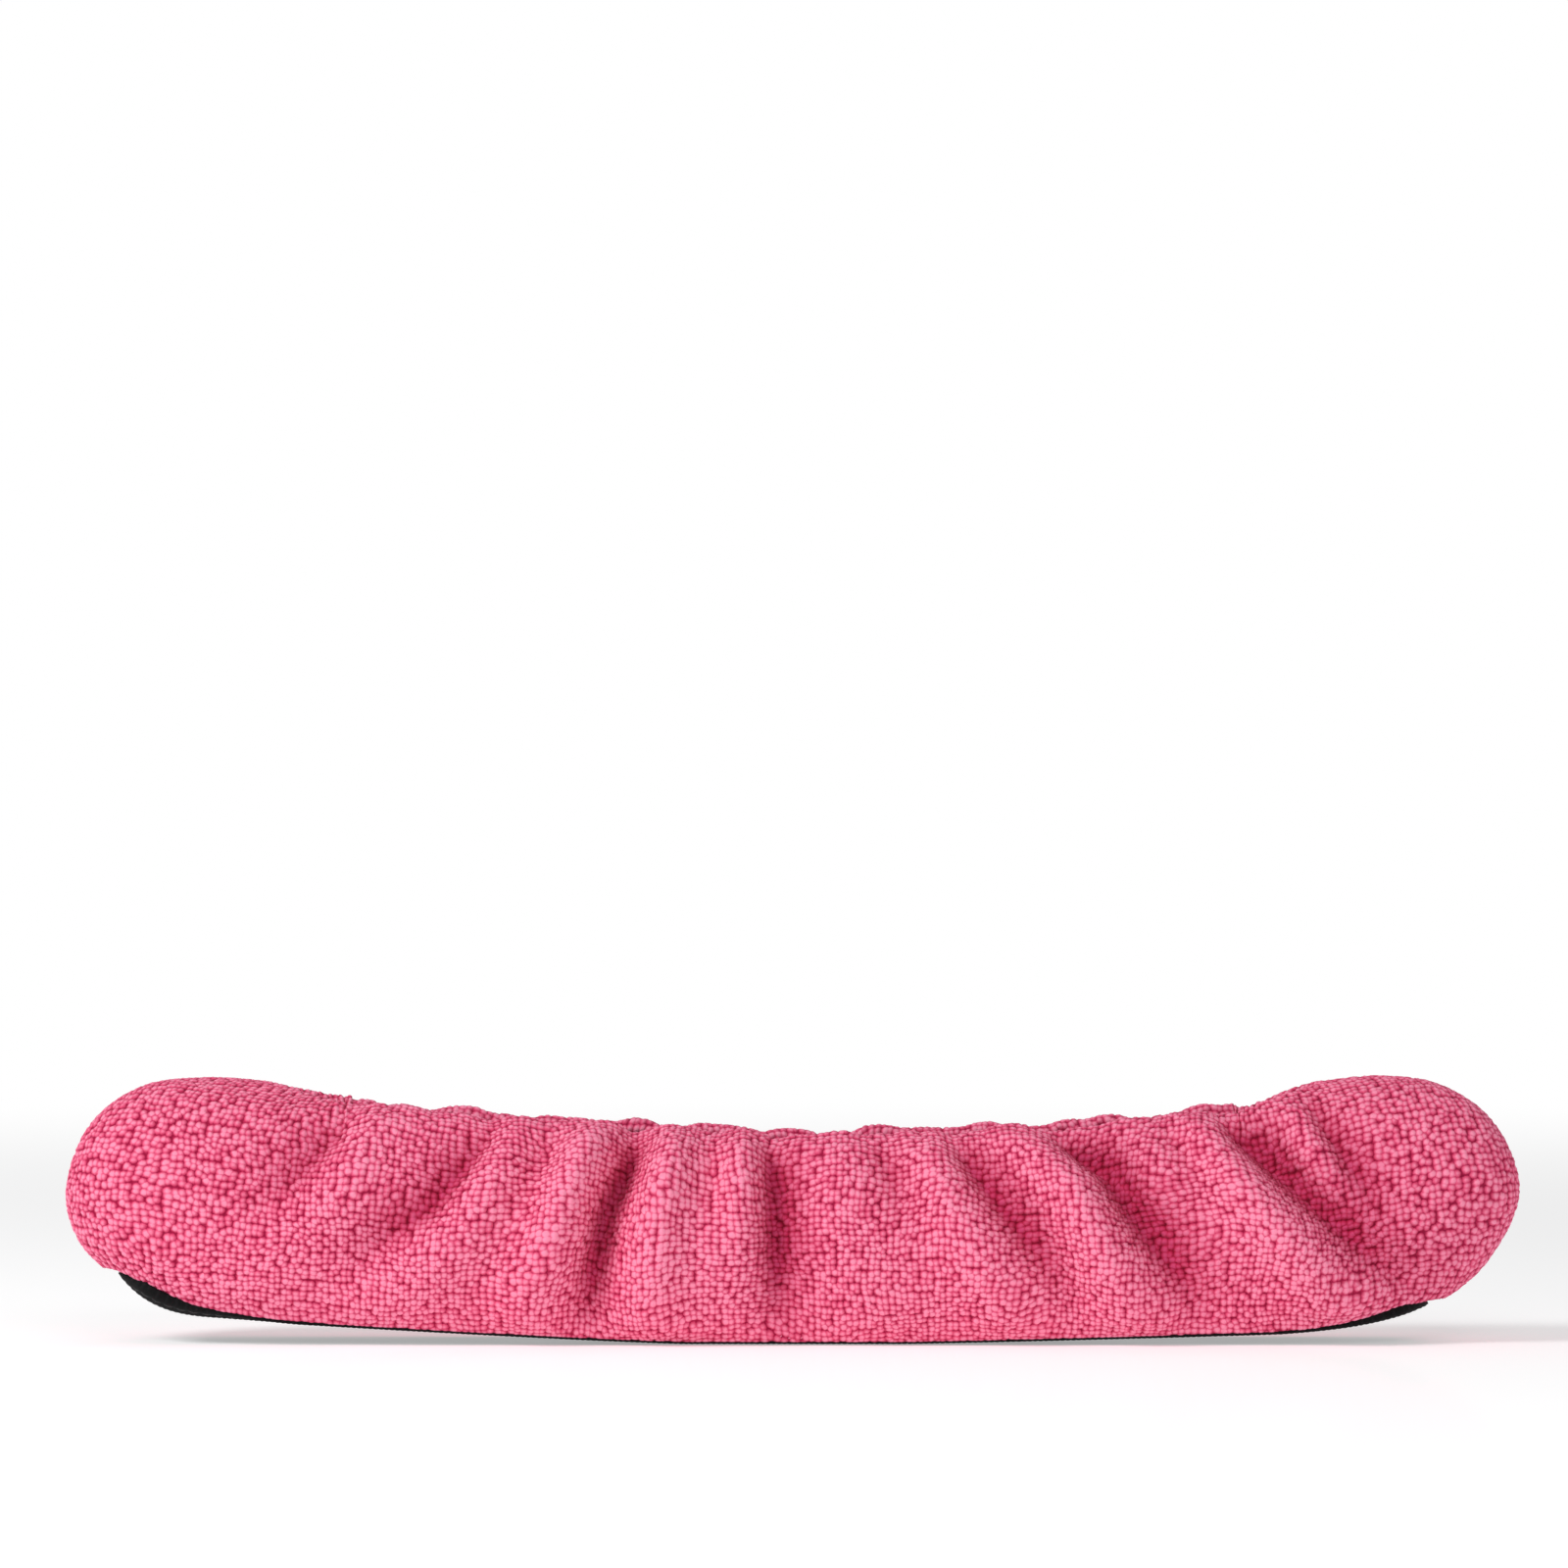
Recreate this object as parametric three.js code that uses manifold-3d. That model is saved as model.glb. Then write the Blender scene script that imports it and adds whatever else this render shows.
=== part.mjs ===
// Soft skate blade guard (soaker): a terry cover sewn round a webbing sole, with an elastic mouth.
// Millimetres. +X runs from toe to heel, +Z is up, and the sole's flat middle rests on z = 0.
// Every layer is an offset of one skin, a long bowl that runs from the sole seam up to the mouth.
import * as THREE from "three";
import { mergeVertices } from "three/addons/utils/BufferGeometryUtils.js";
import Module from "manifold-3d";

const wasm = await Module();
wasm.setup();

// Driving dimensions
const FLAT_HALF = 25; // half of the sole's flat middle
const CROWN_MID = 48.8; // height of the mouth's edge at mid-length
// How each end rises: the mouth's edge by crownRise at crownAt, and the sole by its slope and its kick
const TOE = {
  crownRise: 10.5,
  crownAt: 131,
  crownPower: 1.5,
  slope: 0.0204,
  kick: 8,
  kickFrom: 132,
  kickRun: 23,
};
const HEEL = {
  crownRise: 11.2,
  crownAt: 136,
  crownPower: 2.2,
  slope: 0.0102,
  kick: 4.7,
  kickFrom: 105,
  kickRun: 40,
};
const SOLE_POWER = 1.2; // how the sole's long rocker curves away from its flat middle
const KICK_POWER = 3;

const TERRY = 2.2; // outer pile layer
const LINING = 1.6;
const LAYER_GAP = 0.7; // clearance between sewn layers
const ELASTIC = { width: 5, thick: 0.9, fromRim: 1.9 };
const HEM = { depth: 9, thick: 1.2, slot: 1.5, lip: 1.5 }; // the turned edge that holds the elastic
const THREAD = 0.5; // thickness of every bead of stitching
const WEBBING = { half: 13.4, thick: 1.8, toe: -155.5, heel: 146.5, corner: 9 };
const INSOLE = { half: 9.4, thick: 2, toe: -146, heel: 139, corner: 8 };
const BLADE_STRIP = { half: 8.2, thick: 1.8, toe: -141, heel: 135, corner: 5 };
const STITCH_INSET = 2; // from a strip's edge to its stitch line
const FLEX_HALF = 100; // the side panels flex between these two places
const CUT_GAP = 0.35; // between pieces that were one cloth before the cut
const SEAM_OUT = 0.35; // how far the sole seam's thread stands off the panel
const SEAM_RISE = [0.002, 0.01]; // the sole seam's thread, as shares of the way up the skin
const END_SEAM_DEEP = TERRY + LINING + 2 * LAYER_GAP + 0.2; // the centre seam's thread, inside the lining
const GROOVE_DEEP = 0.9; // of the groove that a strip's stitching lies in

const SIDE_STEPS = 12; // stations along each side
const END_STEPS = 15; // stations round each end
const END_SHARE = 0.12; // of the way round that each rounded end takes

// The skin's levels, from the sole seam to the mouth. height is the share of the way from sole to crown,
// the tips are [x, z], and round is how boxy the plan of the ends is (2 is an ellipse).
const LEVELS = [
  { height: 0.03, toe: [-159, 17.4], heel: [150.5, 11.4], half: 14.6, taper: 0, round: 3.4 },
  { height: 0.17, toe: [-164.5, 23.5], heel: [159.5, 18], half: 20, taper: 0, round: 3.2 },
  { height: 0.45, toe: [-167.3, 34], heel: [167.3, 34.4], half: 23.2, taper: 0, round: 3 },
  { height: 0.74, toe: [-162, 49.5], heel: [161.6, 50], half: 21.4, taper: 0.02, round: 2.8 },
  { height: 0.92, toe: [-150.5, 58.2], heel: [150, 58.5], half: 16.6, taper: 0.06, round: 2.5 },
  { height: 0.975, toe: [-136, 60.3], heel: [136.5, 60.8], half: 12.8, taper: 0.12, round: 2.2 },
  { height: 1, toe: [-119, 59.3], heel: [120, 59.4], half: 9.4, taper: 0.22, round: 2 },
];
const SIDE_HALF = 102; // the sides run this far from mid-length, and the rounded ends begin there

const COLOURS = {
  terry: new THREE.MeshStandardMaterial({ color: 0xdc6484, roughness: 0.95, metalness: 0 }),
  lining: new THREE.MeshStandardMaterial({ color: 0xd9607f, roughness: 0.97, metalness: 0 }),
  webbing: new THREE.MeshStandardMaterial({ color: 0x141414, roughness: 0.75, metalness: 0 }),
  thread: new THREE.MeshStandardMaterial({ color: 0x1c1c1e, roughness: 0.6, metalness: 0 }),
  pinkThread: new THREE.MeshStandardMaterial({ color: 0xd0537a, roughness: 0.6, metalness: 0 }),
  elastic: new THREE.MeshStandardMaterial({ color: 0xefeff0, roughness: 0.8, metalness: 0 }),
};

const lerp = THREE.MathUtils.lerp;

// Height of the sole's underside.
function soleHeight(x) {
  const end = x < 0 ? TOE : HEEL;
  const past = Math.max(0, Math.abs(x) - FLAT_HALF);
  const kick = Math.max(0, (Math.abs(x) - end.kickFrom) / end.kickRun);
  return end.slope * past ** SOLE_POWER + end.kick * kick ** KICK_POWER;
}

// Height of the cover's top.
function crownHeight(x) {
  const end = x < 0 ? TOE : HEEL;
  return CROWN_MID + end.crownRise * (Math.abs(x) / end.crownAt) ** end.crownPower;
}

// A level's point. round goes from 0 to 1: up the left side from toe to heel, round the heel, back down
// the right side and round the toe.
function levelPoint(level, round) {
  const half = (((round % 1) + 1) % 1) * 2;
  const left = half < 1;
  const share = half % 1;
  const sideShare = 1 - 2 * END_SHARE;
  const side = left ? -1 : 1;
  const height = (x) => lerp(soleHeight(x), crownHeight(x), level.height);
  if (share <= sideShare) {
    const along = ((2 * share) / sideShare - 1) * (left ? 1 : -1);
    const x = along * SIDE_HALF;
    return new THREE.Vector3(x, side * level.half * (1 - level.taper * along ** 2), height(x));
  }
  const turn = ((share - sideShare) / (2 * END_SHARE)) * Math.PI;
  const power = 2 / level.round;
  const [tipX, tipZ] = left ? level.heel : level.toe;
  const out = Math.abs(Math.sin(turn)) ** power;
  const across = Math.sign(Math.cos(turn)) * Math.abs(Math.cos(turn)) ** power;
  const x = lerp(left ? SIDE_HALF : -SIDE_HALF, tipX, out);
  const z = lerp(height(x), tipZ, out ** 3);
  return new THREE.Vector3(x, side * level.half * (1 - level.taper) * across, z);
}

function meridian(round) {
  const points = LEVELS.map((level) => levelPoint(level, round));
  return new THREE.CatmullRomCurve3(points, false, "centripetal");
}

// The three neighbouring meridians at a station, for points and normals on the skin.
function station(round) {
  const step = 1e-3;
  return [-step, 0, step].map((d) => meridian(round + d));
}

// A point of the skin: up is the share of the meridian's length, inset is the depth below the skin.
function skin([before, here, after], up, inset) {
  const step = 0.004;
  const u = THREE.MathUtils.clamp(up, 0, 1);
  const rise = here.getPointAt(Math.min(1, u + step)).sub(here.getPointAt(Math.max(0, u - step)));
  const run = after.getPointAt(u).sub(before.getPointAt(u));
  const normal = run.cross(rise).normalize();
  return here.getPointAt(u).addScaledVector(normal, -inset);
}

// Skin through equal rings of points: closed on itself, or capped at both ends with a fan.
function loft(rings, closed) {
  const size = rings[0].length;
  const count = rings.length;
  const index = [];
  for (let i = 0; i < (closed ? count : count - 1); i++)
    for (let j = 0; j < size; j++) {
      const [a, b] = [i * size + j, i * size + ((j + 1) % size)];
      const [c, d] = [a, b].map((v) => (v + size) % (count * size));
      index.push(a, b, d, a, d, c);
    }
  const start = (count - 1) * size;
  for (let j = 1; !closed && j < size - 1; j++) {
    index.push(0, j + 1, j);
    index.push(start, start + j, start + j + 1);
  }
  return facingOut(new THREE.BufferGeometry().setFromPoints(rings.flat()).setIndex(index));
}

// Reverses the faces if the volume they enclose comes out negative.
function facingOut(geometry) {
  const position = geometry.getAttribute("position");
  const index = geometry.index.array;
  const [a, b, c] = [new THREE.Vector3(), new THREE.Vector3(), new THREE.Vector3()];
  let volume = 0;
  for (let i = 0; i < index.length; i += 3) {
    a.fromBufferAttribute(position, index[i]);
    b.fromBufferAttribute(position, index[i + 1]);
    c.fromBufferAttribute(position, index[i + 2]);
    volume += a.dot(b.cross(c));
  }
  for (let i = 0; volume < 0 && i < index.length; i += 3) {
    [index[i + 1], index[i + 2]] = [index[i + 2], index[i + 1]];
  }
  return geometry;
}

function toSolid(geometry) {
  const bare = geometry.clone().deleteAttribute("normal").deleteAttribute("uv");
  const merged = mergeVertices(bare, 1e-4);
  return new wasm.Manifold(
    new wasm.Mesh({
      numProp: 3,
      vertProperties: merged.getAttribute("position").array,
      triVerts: new Uint32Array(merged.index.array),
    }),
  );
}

function toGeometry(solid) {
  const { vertProperties, triVerts } = solid.getMesh();
  return new THREE.BufferGeometry()
    .setAttribute("position", new THREE.BufferAttribute(vertProperties, 3))
    .setIndex(new THREE.BufferAttribute(triVerts, 1));
}

// Stations all the way round: evenly along each side and round each end.
function stationsRound() {
  const rounds = [];
  for (const start of [0, 0.5]) {
    for (let i = 0; i < SIDE_STEPS; i++) rounds.push(start + ((0.5 - END_SHARE) * i) / SIDE_STEPS);
    const end = start + 0.5 - END_SHARE;
    for (let i = 0; i < END_STEPS; i++) rounds.push(end + (END_SHARE * i) / END_STEPS);
  }
  return rounds.map(station);
}
const STATIONS = stationsRound();

// A layer that runs all the way round. section lists [place, inset]; a place up to 1 is the share of the
// way up the skin, and { rim } is a distance down from the mouth.
function layer(section) {
  const rings = STATIONS.map((at) => {
    const length = at[1].getLength();
    return section.map(([place, inset]) => {
      const up = typeof place === "number" ? place : 1 - place.rim / length;
      return skin(at, up, inset);
    });
  });
  return loft(rings, true);
}

function steps(from, to, count) {
  return Array.from({ length: count + 1 }, (_, i) => lerp(from, to, i / count));
}

// The outer cloth with its edge turned in at the mouth, so that it holds the elastic like a hook.
function terryLayer() {
  const bottom = 0;
  const wallTop = 0.72;
  const flapOut = TERRY + HEM.slot;
  const flapIn = flapOut + HEM.thick;
  const outer = steps(bottom, wallTop, 6).map((up) => [up, 0]);
  const lip = steps(HEM.depth, 0, 4).map((rim) => [{ rim }, 0]);
  const turned = [0, HEM.depth / 2, HEM.depth].map((rim) => [{ rim }, flapIn]);
  const slot = [
    [{ rim: HEM.depth }, flapOut],
    [{ rim: HEM.depth / 2 }, flapOut],
    [{ rim: HEM.lip }, flapOut],
    [{ rim: HEM.lip }, TERRY],
    [{ rim: HEM.depth / 2 }, TERRY],
    [{ rim: HEM.depth }, TERRY],
  ];
  const inner = steps(wallTop, bottom, 6).map((up) => [up, TERRY]);
  return layer([...outer, ...lip, ...turned, ...slot, ...inner]);
}

function liningLayer() {
  const near = TERRY + LAYER_GAP;
  const far = near + LINING;
  const ups = steps(0, 0.7, 6);
  const top = { rim: HEM.depth + 1.2 };
  return layer([
    ...ups.map((up) => [up, near]),
    [top, near],
    [top, far],
    ...ups.reverse().map((up) => [up, far]),
  ]);
}

function elasticLayer() {
  const near = TERRY + (HEM.slot - ELASTIC.thick) / 2;
  const far = near + ELASTIC.thick;
  const wide = steps(ELASTIC.fromRim, ELASTIC.fromRim + ELASTIC.width, 2);
  return layer([...wide.map((rim) => [{ rim }, far]), ...wide.reverse().map((rim) => [{ rim }, near])]);
}

function hemStitchLayer() {
  const near = TERRY + HEM.slot + HEM.thick + LAYER_GAP;
  const low = HEM.depth - 1.4;
  return layer([
    [{ rim: low }, near],
    [{ rim: low - THREAD }, near],
    [{ rim: low - THREAD }, near + THREAD],
    [{ rim: low }, near + THREAD],
  ]);
}

// The thread that sews the cover's lower edge down, just outside that edge.
function seamLayer() {
  const [low, high] = SEAM_RISE;
  return layer([
    [low, -SEAM_OUT],
    [low, -SEAM_OUT - THREAD],
    [high, -SEAM_OUT - THREAD],
    [high, -SEAM_OUT],
  ]);
}

// The thread of the centre seam over the toe or the heel, in the gap between the two panels.
function endSeamThread(end) {
  const at = station(end === "toe" ? 1 - END_SHARE / 2 : 0.5 - END_SHARE / 2);
  const half = THREAD / 2;
  const rings = steps(0.06, 1 - (HEM.depth + 3) / at[1].getLength(), 24).map((up) => {
    const [high, low] = [0, THREAD].map((deep) => skin(at, up, END_SEAM_DEEP + deep));
    return [
      new THREE.Vector3(high.x, -half, high.z),
      new THREE.Vector3(high.x, half, high.z),
      new THREE.Vector3(low.x, half, low.z),
      new THREE.Vector3(low.x, -half, low.z),
    ];
  });
  return loft(rings, false);
}

// Half the width of a strip with rounded corners at x.
function halfWidth(strip, x) {
  const left = Math.min(x - strip.toe, strip.heel - x);
  const into = Math.min(1, left / strip.corner);
  return strip.half - strip.corner * (1 - Math.sqrt(1 - (1 - into) ** 2));
}

// Places along the sole that every strip shares, closer together where the ends kick up.
const SOLE_GRID = [
  ...[-150, -147, -144, -141, -138, -135, -131, -127, -120, -100, -75, -50, -FLAT_HALF],
  ...[FLAT_HALF, 50, 75, 100, 115, 122, 128, 132, 136, 140],
];

function stripStations(strip) {
  const corner = [0, 0.05, 0.2, 0.45, 0.75].map((share) => share * strip.corner);
  const toe = corner.map((d) => strip.toe + d);
  const heel = corner.map((d) => strip.heel - d).reverse();
  const middle = SOLE_GRID.filter((x) => x > toe.at(-1) + 2 && x < heel[0] - 2);
  return [...toe, ...middle, ...heel];
}

// A point above the sole line, measured square to it.
function aboveSole(x, y, height) {
  const slope = soleHeight(x + 0.5) - soleHeight(x - 0.5);
  const length = Math.hypot(slope, 1);
  return new THREE.Vector3(x - (slope * height) / length, y, soleHeight(x) + height / length);
}

// A strip of webbing or cloth that follows the sole, with softened edges.
function strip(shape, lift) {
  const soft = Math.min(0.5, shape.thick / 3);
  const rings = stripStations(shape).map((x) => {
    const half = halfWidth(shape, x);
    return [
      [-half + soft, 0],
      [half - soft, 0],
      [half, soft],
      [half, shape.thick - soft],
      [half - soft, shape.thick],
      [-half + soft, shape.thick],
      [-half, shape.thick - soft],
      [-half, soft],
    ].map(([y, z]) => aboveSole(x, y, lift + z));
  });
  return loft(rings, false);
}

// A closed line of stitching just inside a strip's edge, as a bead from low to high above the sole line.
function stitchLoop(shape, low, high, width) {
  const line = {
    half: shape.half - STITCH_INSET,
    toe: shape.toe + STITCH_INSET,
    heel: shape.heel - STITCH_INSET,
    corner: shape.corner - STITCH_INSET,
  };
  const xs = stripStations(line);
  const path = [
    ...xs.map((x) => [x, -halfWidth(line, x)]),
    ...xs.reverse().map((x) => [x, halfWidth(line, x)]),
  ].filter(([x, y], i, all) => i === 0 || Math.hypot(x - all[i - 1][0], y - all[i - 1][1]) > 0.3);
  const rings = path.map(([x, y], i) => {
    const [ax, ay] = path[(i + path.length - 1) % path.length];
    const [bx, by] = path[(i + 1) % path.length];
    const out = new THREE.Vector2(by - ay, ax - bx).normalize().multiplyScalar(width / 2);
    return [
      aboveSole(x + out.x, y + out.y, low),
      aboveSole(x - out.x, y - out.y, low),
      aboveSole(x - out.x, y - out.y, high),
      aboveSole(x + out.x, y + out.y, high),
    ];
  });
  return loft(rings, true);
}

// A strip with a shallow groove that the stitching lies in.
function groovedStrip(shape, lift, grooveLow, grooveHigh) {
  const groove = stitchLoop(shape, grooveLow, grooveHigh, THREAD * 2.4);
  return toGeometry(toSolid(strip(shape, lift)).subtract(toSolid(groove)));
}

const part = new THREE.Group();
function add(name, geometry, material) {
  const mesh = new THREE.Mesh(geometry, material);
  mesh.name = name;
  part.add(mesh);
}

// Regions that the cover's layers are cut into. x and y are [from, to].
const FAR = 200;
const REGIONS = {
  left_wall: { x: [-FLEX_HALF, FLEX_HALF], y: [-FAR, 0] },
  right_wall: { x: [-FLEX_HALF, FLEX_HALF], y: [0, FAR] },
  left_toe: { x: [-FAR, -FLEX_HALF - CUT_GAP], y: [-FAR, -CUT_GAP / 2] },
  right_toe: { x: [-FAR, -FLEX_HALF - CUT_GAP], y: [CUT_GAP / 2, FAR] },
  left_heel: { x: [FLEX_HALF + CUT_GAP, FAR], y: [-FAR, -CUT_GAP / 2] },
  right_heel: { x: [FLEX_HALF + CUT_GAP, FAR], y: [CUT_GAP / 2, FAR] },
};

function region({ x, y }) {
  const box = new THREE.BoxGeometry(x[1] - x[0], y[1] - y[0], FAR);
  box.translate((x[0] + x[1]) / 2, (y[0] + y[1]) / 2, 0);
  return toSolid(box);
}

function addCut(layerName, geometry, material, names) {
  const whole = toSolid(geometry);
  for (const name of names) {
    const piece = whole.intersect(region(REGIONS[name]));
    add(`${name}_${layerName}`, toGeometry(piece), material);
  }
}

const ALL = Object.keys(REGIONS);
addCut("terry", terryLayer(), COLOURS.terry, ALL);
addCut("lining", liningLayer(), COLOURS.lining, ALL);
addCut("hem_stitch", hemStitchLayer(), COLOURS.pinkThread, ALL);
addCut("seam_stitch", seamLayer(), COLOURS.pinkThread, ALL);
add("elastic_band", elasticLayer(), COLOURS.elastic);

add("toe_seam_thread", endSeamThread("toe"), COLOURS.pinkThread);
add("heel_seam_thread", endSeamThread("heel"), COLOURS.pinkThread);

const insoleLift = WEBBING.thick + LAYER_GAP;
const stripLift = insoleLift + INSOLE.thick + LAYER_GAP;
const stripTop = stripLift + BLADE_STRIP.thick;
const sunk = 0.1; // how far each line of stitching lies below its strip's surface
add("sole_webbing", groovedStrip(WEBBING, 0, -1, GROOVE_DEEP), COLOURS.webbing);
add("sole_stitch", stitchLoop(WEBBING, sunk, sunk + THREAD, THREAD), COLOURS.thread);
add("insole_terry", strip(INSOLE, insoleLift), COLOURS.lining);
const bladeStrip = groovedStrip(BLADE_STRIP, stripLift, stripTop - GROOVE_DEEP, stripTop + 1);
add("blade_strip", bladeStrip, COLOURS.webbing);
const bladeStitch = stitchLoop(BLADE_STRIP, stripTop - THREAD - sunk, stripTop - sunk, THREAD);
add("blade_strip_stitch", bladeStitch, COLOURS.thread);

export default part;
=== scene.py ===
"""Soft skate blade guard: a gathered terry cover with an elastic mouth, sewn to a webbing sole.

Shapes are worked out in millimetres in the row frame (+X toe to heel, +Z up) and made in metres.
"""

import math

import bmesh
import bpy
import numpy as np
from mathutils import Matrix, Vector


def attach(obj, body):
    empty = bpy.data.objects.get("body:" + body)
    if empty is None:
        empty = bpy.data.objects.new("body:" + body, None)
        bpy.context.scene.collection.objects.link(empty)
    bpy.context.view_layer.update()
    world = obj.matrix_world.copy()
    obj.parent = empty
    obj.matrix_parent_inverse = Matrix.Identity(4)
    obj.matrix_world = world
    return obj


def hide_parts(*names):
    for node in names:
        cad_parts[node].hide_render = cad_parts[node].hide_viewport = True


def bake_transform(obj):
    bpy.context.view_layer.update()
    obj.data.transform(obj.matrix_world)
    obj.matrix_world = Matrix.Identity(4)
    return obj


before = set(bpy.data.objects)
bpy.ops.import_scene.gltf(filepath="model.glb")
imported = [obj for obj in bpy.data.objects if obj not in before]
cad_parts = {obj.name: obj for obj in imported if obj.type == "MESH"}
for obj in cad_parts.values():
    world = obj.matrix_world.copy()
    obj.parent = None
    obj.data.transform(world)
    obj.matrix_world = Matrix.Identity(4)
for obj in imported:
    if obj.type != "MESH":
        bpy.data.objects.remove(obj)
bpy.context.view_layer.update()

MM = 0.001
SIDES = ("left", "right")
PARTS = ("wall", "toe", "heel")

# The sole's line is flat to FLAT_HALF, then rises by slope and kicks up from start over run.
# The mouth's line rises from CROWN_MID by rise at x = at, to the given power.
FLAT_HALF = 25.0
SIDE_HALF = 102.0
CROWN_MID = 48.8
TOE_LINE = {
    "slope": 0.0204,
    "kick": 8,
    "start": 132,
    "run": 23,
    "rise": 10.5,
    "at": 131,
    "power": 1.5,
}
HEEL_LINE = {
    "slope": 0.0102,
    "kick": 4.7,
    "start": 105,
    "run": 40,
    "rise": 11.2,
    "at": 136,
    "power": 2.2,
}

# height share, toe tip (x, z), heel tip (x, z), half width, taper, roundness of the ends in plan
LEVELS = [
    (0.03, (-159, 17.4), (150.5, 11.4), 14.6, 0.0, 3.4),
    (0.17, (-164.5, 23.5), (159.5, 18), 20.0, 0.0, 3.2),
    (0.45, (-167.3, 34), (167.3, 34.4), 23.2, 0.0, 3.0),
    (0.74, (-162, 49.5), (161.6, 50), 21.4, 0.02, 2.8),
    (0.92, (-150.5, 58.2), (150, 58.5), 16.6, 0.06, 2.5),
    (0.975, (-136, 60.3), (136.5, 60.8), 12.8, 0.12, 2.2),
    (1.0, (-119, 59.3), (120, 59.4), 9.4, 0.22, 2.0),
]

# Gathers on the left side: (x, z) points from the mouth down, depth, half width, and which way along x
# the ridge beside the valley lies (0 is both)
FOLDS_LEFT = [
    ([(-102, 52), (-105, 48), (-111, 41), (-119, 34)], 2.6, 3.2, 1),
    ([(-69, 50), (-73, 44), (-82, 32), (-97, 21)], 3.5, 2.9, 1),
    ([(-54, 50), (-57, 42), (-60, 30), (-64, 20)], 1.6, 3.0, 1),
    ([(-35, 49), (-38, 41), (-42.4, 31), (-47, 9)], 5.8, 3.1, 0),
    ([(-19, 48), (-18, 36), (-15, 22), (-16, 10)], 1.5, 3.2, -1),
    ([(-5.5, 49), (-5, 38), (-4.5, 24), (-4, 10)], 4.8, 2.7, -1),
    ([(19, 48), (22, 40), (25, 30)], 1.8, 3.4, -1),
    ([(35, 51), (40, 43), (48, 31), (63, 12)], 3.7, 3.1, -1),
    ([(58, 51), (71, 41), (79, 28), (91, 11)], 5.8, 3.1, -1),
    ([(84, 52), (90, 44), (95, 36)], 1.5, 3.0, -1),
    ([(97, 55), (103, 48), (113, 38), (131, 20), (138, 15)], 5.6, 3.0, -1),
    ([(119, 55), (123, 48.5), (128, 41), (133, 34)], 2.7, 2.3, -1),
]
FOLDS_RIGHT = [
    ([(-116, 53), (-121, 43), (-128, 33)], 2.2, 3.4, 1),
    ([(-84, 52), (-93, 40), (-104, 25), (-110, 16)], 4.0, 3.0, 1),
    ([(-62, 51), (-66, 39), (-73, 26)], 3.4, 2.9, 1),
    ([(-44, 49), (-46, 40), (-48, 33)], 1.3, 3.0, 1),
    ([(-27, 49), (-30, 35), (-33, 20), (-35, 9)], 4.2, 2.8, 0),
    ([(-9, 48), (-10, 40), (-10, 31)], 1.4, 3.0, -1),
    ([(12, 48), (12, 35), (14, 21), (18, 10)], 4.1, 2.7, 1),
    ([(33, 49), (37, 38), (41, 29)], 1.5, 3.1, -1),
    ([(51, 51), (59, 37), (66, 22), (71, 12)], 4.2, 2.9, -1),
    ([(78, 53), (86, 41), (94, 28)], 2.8, 3.0, -1),
    ([(103, 56), (112, 44), (122, 31), (130, 20)], 4.0, 3.0, -1),
    ([(126, 57), (133, 46), (140, 35)], 2.0, 3.3, -1),
]

FOLDS = (FOLDS_LEFT, FOLDS_RIGHT)
FOLDS_FREE = 9  # mm from the centre seam at which the folds have their full depth
CREASE = {"sharp": 0.744, "fall": 1.35, "floor": 0.02, "soft": 0.38}
MOUTH_HOLD = 0.86  # share of a gather's depth that the elastic takes away at the mouth

# How far the pile rolls down over the sole's edge, at places along x
SAG_AT = (-162, -150, -120, -90, 100, 135, 152, 160)
SAG = (0.4, 0.9, 0.8, 0.85, 0.85, 0.9, 1.5, 0.8)

HEM = {"roll": 2.1, "depth": 9.0}
PANEL_LENGTH = 360
SIDE_RUN = 62  # the cloth's run up the side, mm
EVEN_UP = 0.86  # rows are shares of the way up to here, and distances from the mouth above
EVEN_TOP = (1 - EVEN_UP) * SIDE_RUN

# The cloth has GATHER times the skin's length and EASE times its height. FOLD_START is the share of the
# folds that it starts with, MOST_MOVE the furthest that it may drift, in mm.
COARSE_STEP = 3.6
COARSE_ROWS = 20
GATHER = 1.1
EASE = 1.03
FOLD_START = 0.4
MOST_MOVE = 2.5
CLOTH_SCALE = 0.01
CLOTH_FRAMES = 25
CLOTH = {
    "quality": 8,
    "mass": 0.4,
    "air_damping": 4,
    "tension_stiffness": 18,
    "compression_stiffness": 18,
    "shear_stiffness": 6,
    "bending_stiffness": 1.6,
    "pin_stiffness": 1,
    "use_pressure": True,
    "uniform_pressure_force": 1.2,
}

# Loops of pile: their spacing and height in mm, and how far one reaches within its cell
NUB_PITCH = 1.5
NUB_HEIGHT = 0.75
LINING_PITCH = 1.9
LINING_HEIGHT = 0.4
LOOP_REACH = 0.7
FINE_STEP = 0.52
COVER_SEED, LINING_SEED, PUCKER_SEED = 11, 31, 71

# Strips along the sole: plan outline and thickness, and how far above the sole's line they lie
SOLE = {"half": 13.4, "thick": 1.8, "toe": -155.5, "heel": 146.5, "corner": 9.0}
INSOLE = {"half": 9.4, "thick": 2.0, "toe": -146.0, "heel": 139.0, "corner": 8.0}
SEAT = {"half": 8.2, "thick": 1.8, "toe": -141.0, "heel": 135.0, "corner": 5.0}
INSOLE_LIFT = 2.5
SEAT_LIFT = 5.2
STITCH_IN = 2  # from a strip's edge to its stitching
RIB_PITCH = 1.25
RIB_END = 1.9


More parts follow.
